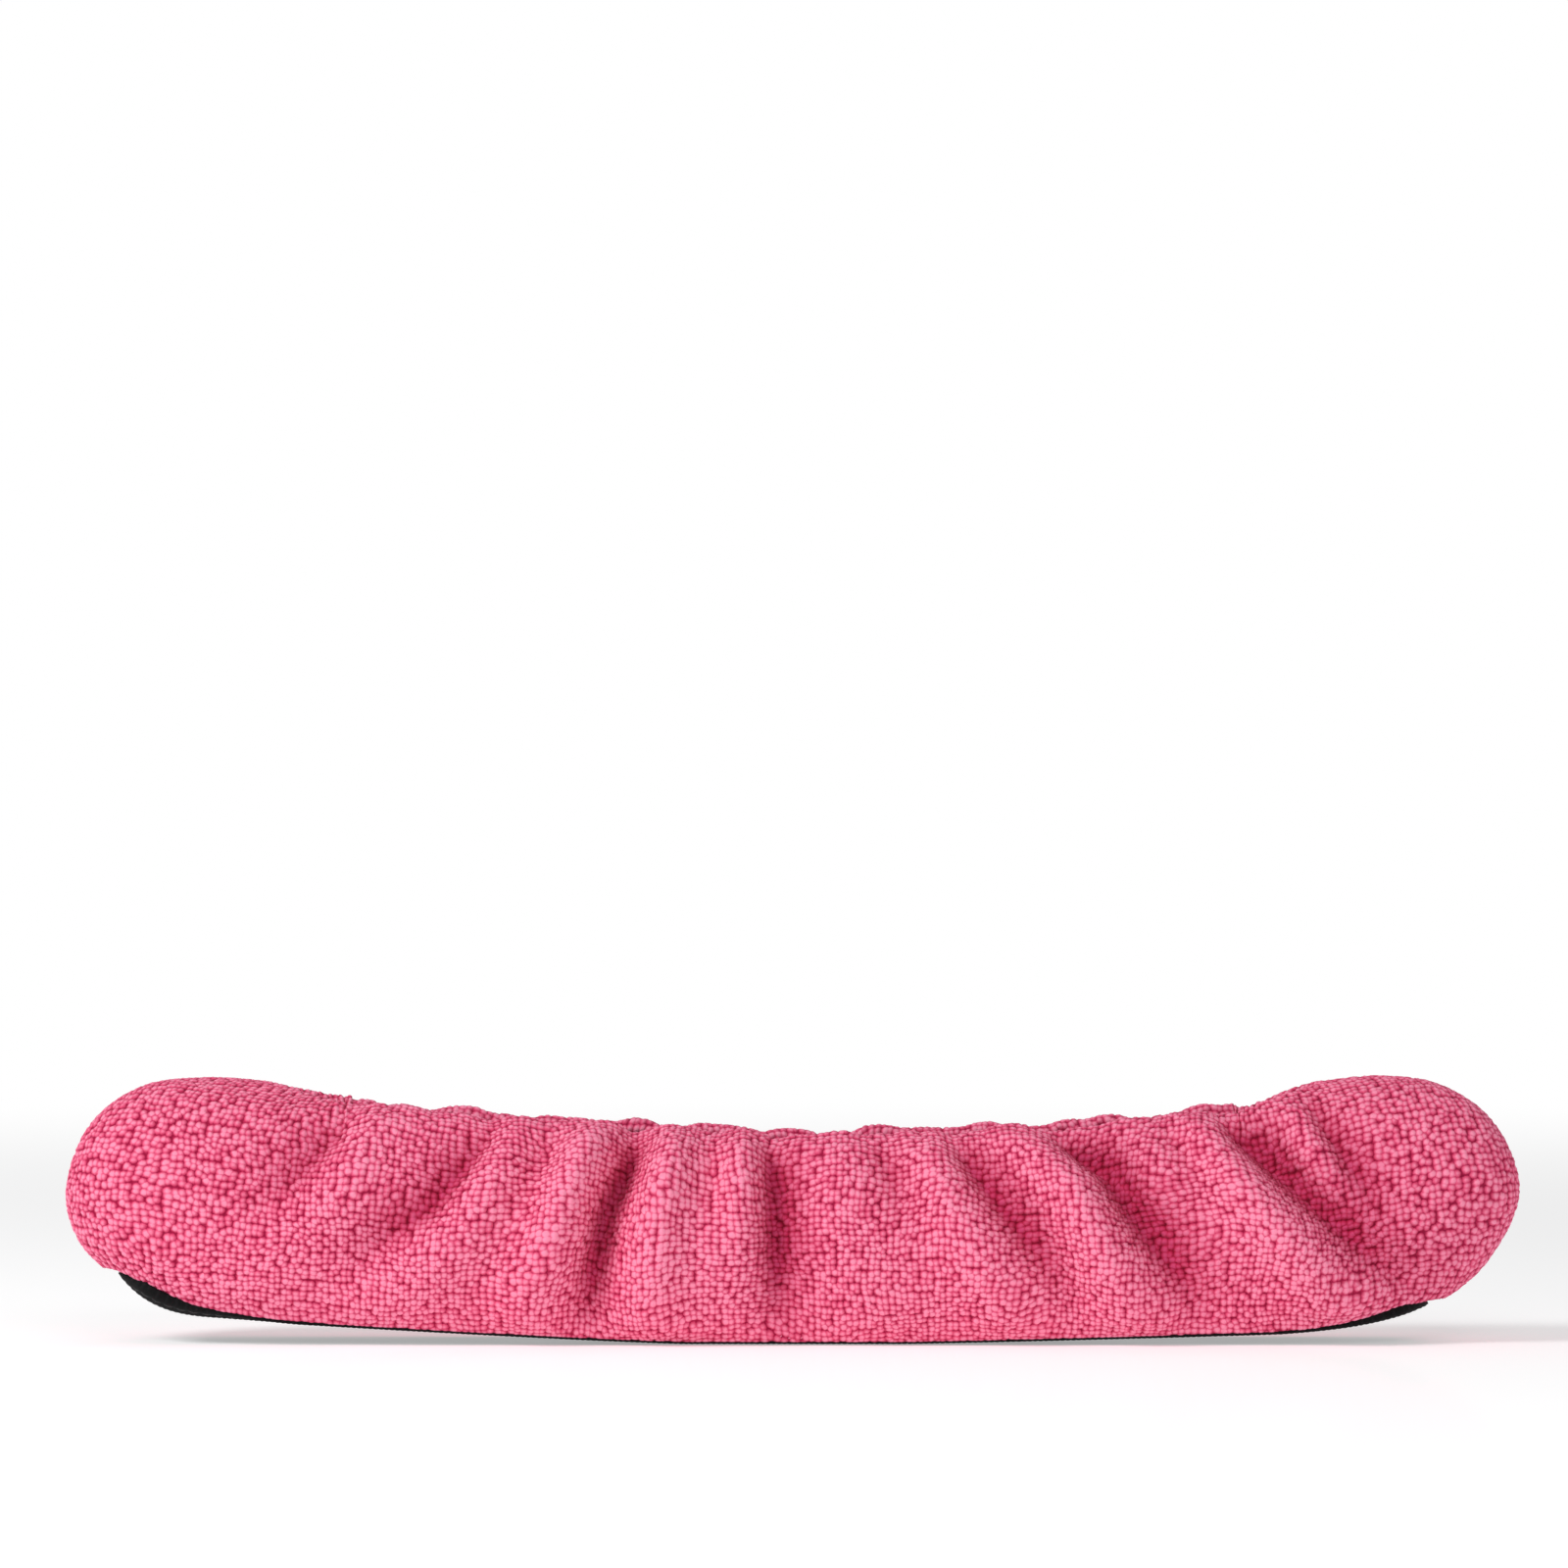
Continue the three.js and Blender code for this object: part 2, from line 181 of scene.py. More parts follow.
def sole_height(x):
    past = np.maximum(0, np.abs(x) - FLAT_HALF)
    out = np.zeros_like(past)
    for line, on in ((TOE_LINE, x < 0), (HEEL_LINE, x >= 0)):
        kick = np.maximum(0, (np.abs(x) - line["start"]) / line["run"])
        out = np.where(on, line["slope"] * past**1.2 + line["kick"] * kick**3, out)
    return out


def sole_slope(x):
    return sole_height(x + 0.5) - sole_height(x - 0.5)


def crown_height(x):
    toe = TOE_LINE["rise"] * (np.abs(x) / TOE_LINE["at"]) ** TOE_LINE["power"]
    heel = HEEL_LINE["rise"] * (np.abs(x) / HEEL_LINE["at"]) ** HEEL_LINE["power"]
    return CROWN_MID + np.where(x < 0, toe, heel)


def height_at(x, share):
    low = sole_height(x)
    return low + (crown_height(x) - low) * share


def level_line(level, steps=240):
    """One level of the left side, from the middle of the toe to the middle of the heel."""
    height, toe, heel, half, taper, power = level
    turn = np.linspace(0, math.pi / 2, steps)
    out = np.sin(turn) ** (2 / power)
    across = np.cos(turn).clip(0) ** (2 / power)
    x = np.linspace(-SIDE_HALF, SIDE_HALF, 2 * steps)
    side = np.stack([x, half * (1 - taper * (x / SIDE_HALF) ** 2), height_at(x, height)], 1)
    ends = []
    for tip, edge in ((toe, -SIDE_HALF), (heel, SIDE_HALF)):
        ex = edge + (tip[0] - edge) * out
        near = height_at(ex, height)
        ends.append(np.stack([ex, half * (1 - taper) * across, near + (tip[1] - near) * out**3], 1))
    line = np.concatenate([ends[0][::-1], side[1:-1], ends[1]])
    line[:, 1] *= -1
    return line


def arc(points):
    steps = np.linalg.norm(np.diff(points, axis=-2), axis=-1)
    return np.concatenate([np.zeros(steps.shape[:-1] + (1,)), np.cumsum(steps, -1)], -1)


def smooth_columns(points, per=10):
    """Centripetal Catmull-Rom through points[:, level], for every column at once."""
    first = 2 * points[:, :1] - points[:, 1:2]
    last = 2 * points[:, -1:] - points[:, -2:-1]
    p = np.concatenate([first, points, last], 1)
    knots = np.sqrt(np.linalg.norm(np.diff(p, axis=1), axis=2)).clip(1e-4)
    out = []
    for i in range(points.shape[1] - 1):
        p0, p1, p2, p3 = (p[:, i + k] for k in range(4))
        d0, d1, d2 = (knots[:, i + k, None] for k in range(3))
        t1 = (p1 - p0) / d0 - (p2 - p0) / (d0 + d1) + (p2 - p1) / d1
        t2 = (p2 - p1) / d1 - (p3 - p1) / (d1 + d2) + (p3 - p2) / d2
        t1, t2 = t1 * d1, t2 * d1
        last_too = i == points.shape[1] - 2
        for s in np.linspace(0, 1, per + 1)[: None if last_too else -1]:
            a, b = 2 * s**3 - 3 * s**2 + 1, s**3 - 2 * s**2 + s
            c, d = -2 * s**3 + 3 * s**2, s**3 - s**2
            out.append(a * p1 + b * t1 + c * p2 + d * t2)
    return np.stack(out, 1)


class Skin:
    """The left side's skin at evenly spaced columns, from the toe's middle to the heel's."""

    def __init__(self, spacing):
        lines = np.stack([level_line(level) for level in LEVELS], 1)
        along = arc(lines[:, 2])
        count = int(round(along[-1] / spacing)) + 1
        even = np.linspace(0, along[-1], count)
        levels = np.stack(
            [[np.interp(even, along, lines[:, k, i]) for i in range(3)] for k in range(len(LEVELS))]
        )
        self.columns = smooth_columns(levels.transpose(2, 0, 1))
        self.length = arc(self.columns)
        self.total = self.length[:, -1]
        self.belly = even
        self.count = count
        self.share = even / along[-1]

    def at(self, rows, inset=0.0):
        """rows is [column, row] shares of the way up; returns points [column, row, 3] and normals."""
        rows = np.broadcast_to(rows, (self.count, np.shape(rows)[-1]))
        points = self._points(rows)
        step = 0.01
        up = self._points(np.minimum(rows + step, 1)) - self._points(np.maximum(rows - step, 0))
        along = np.gradient(points, axis=0)
        along[0] = (0, -1, 0)
        along[-1] = (0, 1, 0)
        normal = np.cross(along, up)
        normal /= np.linalg.norm(normal, axis=2, keepdims=True).clip(1e-9)
        return points - normal * np.asarray(inset)[..., None], normal

    def _points(self, rows):
        out = np.empty(rows.shape + (3,))
        for c in range(self.count):
            wanted = rows[c] * self.total[c]
            for i in range(3):
                out[c, :, i] = np.interp(wanted, self.length[c], self.columns[c, :, i])
        return out


def bilinear(grid, u, v):
    """Samples grid[column, row] at shares u, v."""
    cu, cv = u * (grid.shape[0] - 1), v * (grid.shape[1] - 1)
    iu = np.clip(cu.astype(int), 0, grid.shape[0] - 2)
    iv = np.clip(cv.astype(int), 0, grid.shape[1] - 2)
    fu, fv = (cu - iu)[..., None], (cv - iv)[..., None]
    low = grid[iu, iv] * (1 - fu) + grid[iu + 1, iv] * fu
    high = grid[iu, iv + 1] * (1 - fu) + grid[iu + 1, iv + 1] * fu
    return low * (1 - fv) + high * fv


def refine(grid, times=2):
    """Doubles a grid's rows and columns along a cubic, so that a coarse field leaves no facets."""
    for _ in range(times):
        for axis in (0, 1):
            g = np.moveaxis(grid, axis, 0)
            pad = np.concatenate([2 * g[:1] - g[1:2], g, 2 * g[-1:] - g[-2:-1]])
            mid = (9 * (pad[1:-2] + pad[2:-1]) - (pad[:-3] + pad[3:])) / 16
            out = np.empty((2 * len(g) - 1,) + g.shape[1:])
            out[::2], out[1::2] = g, mid
            grid = np.moveaxis(out, 0, axis)
    return grid


def crease_line(gap):
    """A valley with a sharp floor and easy shoulders."""
    sharp = np.exp(-np.sqrt(gap**2 + CREASE["floor"]) * CREASE["fall"])
    return CREASE["sharp"] * sharp + CREASE["soft"] * np.exp(-(gap**2))


def smooth(t):
    return t * t * (3 - 2 * t)


def puckers(u, rows, seed):
    """Small gathers close under the mouth, where the elastic draws the cloth in."""
    rng = np.random.default_rng(seed)
    out = np.zeros(rows.shape)
    at, last = 0.12, 0.88
    while at < last:
        deep, wide, drop = rng.uniform(0.4, 1.0), rng.uniform(0.006, 0.010), rng.uniform(0.1, 0.22)
        reach = np.clip((rows - (1 - drop)) / drop, 0, 1)
        out += deep * np.exp(-(((u - at) / wide) ** 2)) * smooth(reach)
        at += rng.uniform(0.018, 0.04)
    return out


def fold_depth(points, folds):
    """How far each point lies inside the skin: valleys along the folds, with ridges beside them."""
    flat = points[..., [0, 2]]
    depth = np.zeros(flat.shape[:-1])
    for line, deep, wide, side in folds:
        line = np.array(line, float)
        length = arc(line)
        best, share = np.full(depth.shape, 1e9), np.zeros(depth.shape)
        signed = np.zeros(depth.shape)
        for i in range(len(line) - 1):
            a, b = line[i], line[i + 1]
            t = np.clip(((flat - a) @ (b - a)) / ((b - a) @ (b - a)), 0, 1)
            off = flat - a - t[..., None] * (b - a)
            gap = np.linalg.norm(off, axis=-1)
            near = gap < best
            best = np.where(near, gap, best)
            across = np.array([b[1] - a[1], a[0] - b[0]]) / np.linalg.norm(b - a)
            signed = np.where(near, off @ (across * np.sign(across[0])), signed)
            share = np.where(near, (length[i] + t * (length[i + 1] - length[i])) / length[-1], share)
        fade = np.where(share > 0.6, 1 - 0.55 * ((share - 0.6) / 0.4) ** 1.4, 1)
        fade = fade * np.where(share < 0.25, 0.55 + 0.45 * share / 0.25, 1)
        grow = wide * (1.05 + 0.8 * share)
        if side:
            toward = signed * side
            slow = 1.35 - 0.55 * toward / best.clip(1e-6)
            valley = crease_line(best / (grow * slow))
            ridge = 0.6 * np.exp(-(((toward - 2.2 * grow) / (1.5 * grow)) ** 2))
        else:
            valley = crease_line(best / grow)
            ridge = 0.6 * np.exp(-(((best - 2.5 * grow) / (1.4 * grow)) ** 2))
        depth += deep * fade * (valley - ridge)
    return depth


# --- Cloth: the panels settle with more cloth than the skin has room for, so they gather ---


def settle(panels):
    """panels are (points, flat cut, pin weights), each [column, row]. Returns the settled points."""
    coords, cuts, pins, faces, start = [], [], [], [], 0
    for points, cut, pin in panels:
        c, r = points.shape[:2]
        coords.append(points.reshape(-1, 3) * CLOTH_SCALE)
        cuts.append(cut.reshape(-1, 3) * CLOTH_SCALE)
        pins.append(pin.reshape(-1))
        faces.append(quads(c, r) + start)
        start += c * r
    mesh = bpy.data.meshes.new("panel_cloth")
    fill_mesh(mesh, np.concatenate(coords), np.concatenate(faces))
    cloth = bpy.data.objects.new("panel_cloth", mesh)
    bpy.context.scene.collection.objects.link(cloth)
    cloth.shape_key_add(name="Basis")
    cut_key = cloth.shape_key_add(name="cut")
    cut_key.data.foreach_set("co", np.concatenate(cuts).astype(np.float32).ravel())
    group = cloth.vertex_groups.new(name="pin")
    weights = np.round(np.concatenate(pins), 2)
    for value in np.unique(weights[weights > 0]):
        group.add(np.flatnonzero(weights == value).tolist(), float(value), "REPLACE")
    modifier = cloth.modifiers.new("Cloth", "CLOTH")
    for key, value in CLOTH.items():
        setattr(modifier.settings, key, value)
    modifier.settings.vertex_group_mass = "pin"
    modifier.settings.rest_shape_key = cut_key
    modifier.settings.effector_weights.gravity = 0
    modifier.collision_settings.use_collision = False
    modifier.collision_settings.use_self_collision = False
    scene = bpy.context.scene
    for f in range(1, CLOTH_FRAMES + 1):
        scene.frame_set(f)
    graph = bpy.context.evaluated_depsgraph_get()
    shaped = cloth.evaluated_get(graph).to_mesh()
    out = np.empty(len(shaped.vertices) * 3, np.float32)
    shaped.vertices.foreach_get("co", out)
    cloth.evaluated_get(graph).to_mesh_clear()
    bpy.data.objects.remove(cloth)
    scene.frame_set(1)
    out = out.reshape(-1, 3).astype(float) / CLOTH_SCALE
    settled, start = [], 0
    for points, _, _ in panels:
        size = points.shape[0] * points.shape[1]
        settled.append(out[start : start + size].reshape(points.shape))
        start += size
    return settled


def quads(columns, rows):
    a = (np.arange(columns - 1)[:, None] * rows + np.arange(rows - 1)[None]).ravel()
    return np.stack([a, a + rows, a + rows + 1, a + 1], 1)


def tube_quads(columns, around):
    """As quads, for rows that close into rings."""
    start = np.arange(columns - 1)[:, None] * around
    a = (start + np.arange(around)[None]).ravel()
    b = (start + (np.arange(around)[None] + 1) % around).ravel()
    return np.stack([a, a + around, b + around, b], 1)


def fill_mesh(mesh, coords, faces):
    mesh.vertices.add(len(coords))
    mesh.vertices.foreach_set("co", np.asarray(coords, np.float32).ravel())
    mesh.loops.add(faces.size)
    mesh.loops.foreach_set("vertex_index", faces.astype(np.int32).ravel())
    mesh.polygons.add(len(faces))
    side = faces.shape[1]
    mesh.polygons.foreach_set("loop_start", np.arange(0, faces.size, side, dtype=np.int32))
    mesh.polygons.foreach_set("loop_total", np.full(len(faces), side, np.int32))
    mesh.update(calc_edges=True)
    mesh.polygons.foreach_set("use_smooth", np.ones(len(faces), bool))


def make(name, coords, faces, material, attributes=None):
    """A mesh object from points in millimetres."""
    mesh = bpy.data.meshes.new(name)
    fill_mesh(mesh, np.asarray(coords).reshape(-1, 3) * MM, faces)
    for key, values in (attributes or {}).items():
        values = np.asarray(values, np.float32)
        is_vector = values.size == 3 * len(mesh.vertices)
        made = mesh.attributes.new(key, "FLOAT_VECTOR" if is_vector else "FLOAT", "POINT")
        made.data.foreach_set("vector" if is_vector else "value", values.ravel())
    mesh.materials.append(material)
    made = bpy.data.objects.new(name, mesh)
    bpy.context.scene.collection.objects.link(made)
    return made


def side_shapes():
    """The move of each side's skin from its plain place, on the coarse grid, left then right."""
    skin = Skin(COARSE_STEP)
    rows = np.linspace(0, 1, COARSE_ROWS)
    plain, normal = skin.at(rows)
    edge = np.minimum(np.arange(skin.count), np.arange(skin.count)[::-1]) / 3.0
    free = np.clip(edge, 0, 1)[:, None] * np.clip(rows / 0.09, 0, 1)[None]
    cut = np.zeros_like(plain)
    cut[..., 0] = arc(plain.transpose(1, 0, 2)).T * GATHER
    cut[..., 2] = (rows * EASE)[None] * skin.total[:, None]
    pin = np.zeros(plain.shape[:2])
    pin[:, 0] = pin[:, -1] = 1
    pin[0] = pin[-1] = 1
    pin[1:-1, -2] = 0.6
    panels = []
    for folds in FOLDS:
        depth = fold_depth(plain, folds) * free * FOLD_START
        panels.append((plain - normal * depth[..., None], cut, pin))
    moves = []
    for settled in settle(panels):
        change = settled - plain
        size = np.linalg.norm(change, axis=2, keepdims=True)
        moves.append(change * np.minimum(1, MOST_MOVE / size.clip(1e-6)))
    return moves


MOVES = [refine(m) for m in side_shapes()]


def section_rows(skin, section):
    """[column, row] shares of the way up, for the places of a section.

    A place is ('up', share) or ('rim', distance below the mouth). ('mixed', distance) shares out what
    lies between EVEN_UP and the roll of the hem.
    """
    columns = []
    for kind, value in section:
        if kind == "up":
            columns.append(np.full(skin.count, value))
        elif kind == "rim":
            columns.append(1 - value / skin.total)
        else:
            share = (EVEN_TOP - value) / (EVEN_TOP - HEM["roll"])
            end = 1 - HEM["roll"] / skin.total
            columns.append(EVEN_UP + (end - EVEN_UP) * share)
    return np.clip(np.stack(columns, 1), 0, 1)


def mouth_fade(rows):
    """The elastic holds the mouth's edge level, so the gathers are shallow there."""
    return 1 - MOUTH_HOLD * smooth(np.clip((rows - 0.8) / 0.16, 0, 1))


def sagged(points, rows):
    """The pile rolls down over the sole's edge."""
    sag = np.interp(points[..., 0], SAG_AT, SAG)
    out = points.copy()
    out[..., 2] -= sag * np.exp(-((rows / 0.11) ** 2))
    return out


def gathered(points, normal, u, rows, side, follow=1.0):
    """Moves a layer's points as the settled cloth and its gathers lie. follow is the share it takes."""
    free = np.clip(np.minimum(u, 1 - u) * PANEL_LENGTH / FOLDS_FREE, 0, 1) * np.clip(rows / 0.1, 0, 1)
    depth = fold_depth(points, FOLDS[side]) * mouth_fade(rows) + puckers(u, rows, PUCKER_SEED + side)
    depth = depth * free * follow
    moves = bilinear(MOVES[side], u, rows) * follow
    return points + moves - normal * depth[..., None]


def outward(points):
    along, up = np.gradient(points, axis=0), np.gradient(points, axis=1)
    normal = np.cross(along, up)
    return normal / np.linalg.norm(normal, axis=2, keepdims=True).clip(1e-9)


def laid_flat(points):
    """The cloth laid out flat, as it was cut: [column, row, 2] places that keep its own lengths."""
    flat = None
    for every, rounds in ((16, 500), (8, 250), (4, 120)):
        columns, rows = (np.unique(np.append(np.arange(0, n, every), n - 1)) for n in points.shape[:2])
        cloth = points[np.ix_(columns, rows)]
        if flat is None:
            along = arc(cloth.transpose(1, 0, 2)).T
            flat = np.stack([along - along[len(columns) // 2], arc(cloth)], -1)
        else:
            flat = flat[np.ix_(columns, rows)]
        flat = relaxed(cloth, flat, rounds)
        at_column = np.interp(np.arange(points.shape[0]), columns, np.linspace(0, 1, len(columns)))
        at_row = np.interp(np.arange(points.shape[1]), rows, np.linspace(0, 1, len(rows)))
        u, v = np.meshgrid(at_column, at_row, indexing="ij")
        flat = bilinear(flat, u, v)
    return flat


def relaxed(cloth, flat, rounds):
    """Springs along rows, columns and diagonals bring the flat places to the cloth's lengths."""
    springs = []
    for one, other in (
        (np.s_[:-1, :], np.s_[1:, :]),
        (np.s_[:, :-1], np.s_[:, 1:]),
        (np.s_[:-1, :-1], np.s_[1:, 1:]),
        (np.s_[:-1, 1:], np.s_[1:, :-1]),
    ):
        springs.append((one, other, np.linalg.norm(cloth[other] - cloth[one], axis=-1)))
    for _ in range(rounds):
        push = np.zeros_like(flat)
        for one, other, rest in springs:
            gap = flat[other] - flat[one]
            size = np.linalg.norm(gap, axis=-1).clip(1e-6)
            pull = gap * ((1 - rest / size) / 8)[..., None]
            push[one] += pull
            push[other] -= pull
        flat = flat + push * 1.3
    return flat


def wander(flat, seed):
    """Rows of pile never run quite straight: a smooth drift of each place, in millimetres."""
    rng = np.random.default_rng(seed)
    low = flat.reshape(-1, 2).min(0)
    size = flat.reshape(-1, 2).max(0) - low
    share = (flat - low) / size
    out = np.zeros_like(flat)
    for patch, amount in ((26, 0.9), (9, 0.34), (4.5, 0.13)):
        grid = rng.normal(0, amount, (int(size[0] / patch) + 3, int(size[1] / patch) + 3, 2))
        out += bilinear(refine(grid), share[..., 0], share[..., 1])
    return out


def pile_cells(tree, place, loose):
    """Nodes that give the distance to the nearest loop of pile and that loop's own random colour."""
    noise = tree.nodes.new("ShaderNodeTexNoise")
    noise.inputs["Scale"].default_value = 1.15
    noise.inputs["Detail"].default_value = 1.0
    off = tree.nodes.new("ShaderNodeVectorMath")
    off.operation = "MULTIPLY_ADD"
    off.inputs[1].default_value = (0.3, 0.3, 0)
    cells = tree.nodes.new("ShaderNodeTexVoronoi")
    cells.voronoi_dimensions = "2D"
    cells.inputs["Scale"].default_value = 1.0
    tree.links.new(place, noise.inputs["Vector"])
    tree.links.new(noise.outputs["Color"], off.inputs[0])
    tree.links.new(place, off.inputs[2])
    tree.links.new(off.outputs[0], cells.inputs["Vector"])
    tree.links.new(loose, cells.inputs["Randomness"])
    return cells.outputs["Distance"], cells.outputs["Color"]


def cell_distance(place, loose):
    """pile_cells' distance at each place, worked out by the same nodes that colour the cloth."""
    group = bpy.data.node_groups.new("pile_cells", "GeometryNodeTree")
    group.interface.new_socket("Geometry", in_out="INPUT", socket_type="NodeSocketGeometry")
    group.interface.new_socket("Geometry", in_out="OUTPUT", socket_type="NodeSocketGeometry")
    start, end = group.nodes.new("NodeGroupInput"), group.nodes.new("NodeGroupOutput")
    where = group.nodes.new("GeometryNodeInputPosition")
    named = group.nodes.new("GeometryNodeInputNamedAttribute")
    named.inputs["Name"].default_value = "loose"
    distance, _ = pile_cells(group, where.outputs[0], named.outputs["Attribute"])
    store = group.nodes.new("GeometryNodeStoreNamedAttribute")
    store.inputs["Name"].default_value = "distance"
    group.links.new(start.outputs[0], store.inputs["Geometry"])
    group.links.new(distance, store.inputs["Value"])
    group.links.new(store.outputs[0], end.inputs[0])
    mesh = bpy.data.meshes.new("pile_probe")
    mesh.vertices.add(loose.size)
    mesh.vertices.foreach_set("co", place.astype(np.float32).ravel())
    given = mesh.attributes.new("loose", "FLOAT", "POINT")
    given.data.foreach_set("value", loose.astype(np.float32).ravel())
    probe = bpy.data.objects.new("pile_probe", mesh)
    bpy.context.scene.collection.objects.link(probe)
    probe.modifiers.new("cells", "NODES").node_group = group
    shaped = probe.evaluated_get(bpy.context.evaluated_depsgraph_get())
    out = np.empty(loose.size, np.float32)
    shaped.data.attributes["distance"].data.foreach_get("value", out)
    bpy.data.objects.remove(probe)
    bpy.data.meshes.remove(mesh)
    bpy.data.node_groups.remove(group)
    return out.reshape(loose.shape).astype(float)


def nubs(points, pitch, seed, loose=0.5):
    """Loops of pile over a surface: each point's height share, place among the loops and looseness."""
    flat = laid_flat(points)
    place = np.zeros(points.shape)
    own_cells = 100 * (seed % 7)
    place[..., :2] = (flat + wander(flat, seed)) / pitch + own_cells
    loose = np.broadcast_to(loose, points.shape[:2])
    height = np.clip(1 - (cell_distance(place, loose) / LOOP_REACH) ** 2, 0, 1) ** 0.75
    return height, place, loose


def on_side(side, points, faces):
    """Points and faces of the left side, mirrored when they are for the right one."""
    if not side:
        return points, faces
    return points * (1, -1, 1), faces[:, ::-1]


# --- Materials ---


def linear(*screen):
    """A screen colour, 0 to 255, as a linear one."""
    shares = (c / 255 for c in screen)
    return tuple(((c + 0.055) / 1.055) ** 2.4 if c > 0.04 else c / 12.92 for c in shares) + (1,)


class Nodes:
    """A material's nodes, made and joined in short calls."""

    def __init__(self, name):
        self.material = bpy.data.materials.new(name)
        self.material.use_nodes = True
        self.tree = self.material.node_tree
        self.shader = next(n for n in self.tree.nodes if n.type == "BSDF_PRINCIPLED")

    def add(self, kind, **values):
        node = self.tree.nodes.new("ShaderNode" + kind)
        for key, value in values.items():
            if hasattr(node, key):
                setattr(node, key, value)
            else:
                node.inputs[key].default_value = value
        return node

    def link(self, a, b):
        self.tree.links.new(a, b)

    def feed(self, socket, value):
        """Gives a socket a plain value or another node's output."""
        if isinstance(value, (int, float, tuple)):
            socket.default_value = value
        else:
            self.link(value, socket)

    def ramp(self, factor, stops):
        node = self.add("ValToRGB")
        while len(node.color_ramp.elements) < len(stops):
            node.color_ramp.elements.new(0.5)
        for element, (place, colour) in zip(node.color_ramp.elements, stops):
            element.position, element.color = place, colour
        self.link(factor, node.inputs["Fac"])
        return node.outputs["Color"]

    def noise(self, scale, detail=3.0, roughness=0.6):
        node = self.add("TexNoise", Scale=scale, Detail=detail, Roughness=roughness)
        self.link(self.add("TexCoord").outputs["Object"], node.inputs["Vector"])
        return node.outputs["Fac"]

    def math(self, operation, a, b):
        node = self.add("Math", operation=operation)
        self.feed(node.inputs[0], a)
        self.feed(node.inputs[1], b)
        return node.outputs[0]

    def mix(self, kind, factor, a, b):
        node = self.add("Mix", data_type="RGBA", blend_type=kind)
        for index, value in ((0, factor), (6, a), (7, b)):
            self.feed(node.inputs[index], value)
        return node.outputs[2]

    def vary(self, level, value, amount):
        """Adds a value of 0 to 1 to a level, centred, by an amount."""
        return self.math("ADD", level, self.math("MULTIPLY", self.math("SUBTRACT", value, 0.5), amount))

    def bump(self, height, strength, distance):
        node = self.add("Bump", Strength=strength, Distance=distance)
        self.link(height, node.inputs["Height"])
        self.link(node.outputs["Normal"], self.shader.inputs["Normal"])

    def set(self, **values):
        for key, value in values.items():
            self.shader.inputs[key.replace("_", " ")].default_value = value


def terry_material(name, *tones):
    dark, mid, light, tip = (linear(*tone) for tone in tones)
    n = Nodes(name)
    place = n.add("Attribute", attribute_name="place").outputs["Vector"]
    loose = n.add("Attribute", attribute_name="loose").outputs["Fac"]
    fold_shade_and_highlight = n.add("Attribute", attribute_name="fold_shade_and_highlight").outputs["Fac"]
    distance, loop_colour = pile_cells(n.tree, place, loose)
    split = n.add("SeparateColor")
    n.link(loop_colour, split.inputs[0])
    # The colour follows each loop's height: painted shade in the gaps between the loops and a painted
    # highlight on their tops.
    reach = n.math("POWER", n.math("DIVIDE", distance, LOOP_REACH), 2.0)
    pile = n.math("POWER", n.math("MAXIMUM", n.math("SUBTRACT", 1.0, reach), 0.0), 1.1)
    fibre = n.noise(2600, 4, 0.7)
    level = n.vary(pile, fibre, 0.5)
    level = n.vary(level, split.outputs[0], 0.38)
    level = n.vary(level, n.noise(45, 2, 0.5), 0.2)
    # Painted highlight: the ridges beside the gathers are made lighter in colour.
    ridge = n.math("MAXIMUM", n.math("MULTIPLY", fold_shade_and_highlight, -1.0), 0.0)
    level = n.math("ADD", level, n.math("MULTIPLY", ridge, 0.16))
    colour = n.ramp(level, [(0.0, dark), (0.26, mid), (0.64, light), (0.99, tip)])
    # Painted shade: the valleys of the gathers are darkened towards a deep crimson.
    shade = n.math("POWER", n.math("MAXIMUM", fold_shade_and_highlight, 0.0), 1.15)
    colour = n.mix("MULTIPLY", shade, colour, (0.62, 0.2, 0.37, 1))
    n.link(colour, n.shader.inputs["Base Color"])
    n.set(Roughness=0.95, Specular_IOR_Level=0.15)
    n.set(Sheen_Weight=0.25, Sheen_Roughness=0.5, Sheen_Tint=tip)
    n.bump(n.math("ADD", n.math("MULTIPLY", pile, 0.8), n.math("MULTIPLY", fibre, 0.35)), 0.7, 0.0006)
    return n.material


def webbing_material():
    n = Nodes("ribbed_webbing")
    rib = n.add("Attribute", attribute_name="rib").outputs["Fac"]
    fibre = n.noise(3800, 3, 0.6)
    # Painted shade and highlight: the black is darker in the grooves between the ribs and lighter on
    # their tops.
    level = n.math("ADD", n.math("MULTIPLY", rib, 0.7), n.math("MULTIPLY", fibre, 0.4))
    colour = n.ramp(level, [(0.1, linear(0, 0, 1)), (0.6, linear(4, 4, 5)), (1.0, linear(20, 20, 22))])
    n.link(colour, n.shader.inputs["Base Color"])
    n.set(Roughness=0.75, Specular_IOR_Level=0.16)
    n.bump(fibre, 0.5, 0.0002)
    return n.material


def thread_material(name, dark, light):
    n = Nodes(name)
    fibre = n.noise(5200, 2, 0.5)
    n.link(n.ramp(fibre, [(0.3, dark), (0.7, light)]), n.shader.inputs["Base Color"])
    n.set(Roughness=0.5)
    n.bump(fibre, 0.5, 0.0001)
    return n.material


def elastic_material():
    n = Nodes("elastic")
    rib = n.add("Attribute", attribute_name="rib").outputs["Fac"]
    colour = n.ramp(rib, [(0.0, linear(190, 188, 184)), (1.0, linear(243, 242, 239))])
    n.link(colour, n.shader.inputs["Base Color"])
    n.set(Roughness=0.8)
    n.bump(n.noise(4200), 0.4, 0.0001)
    return n.material


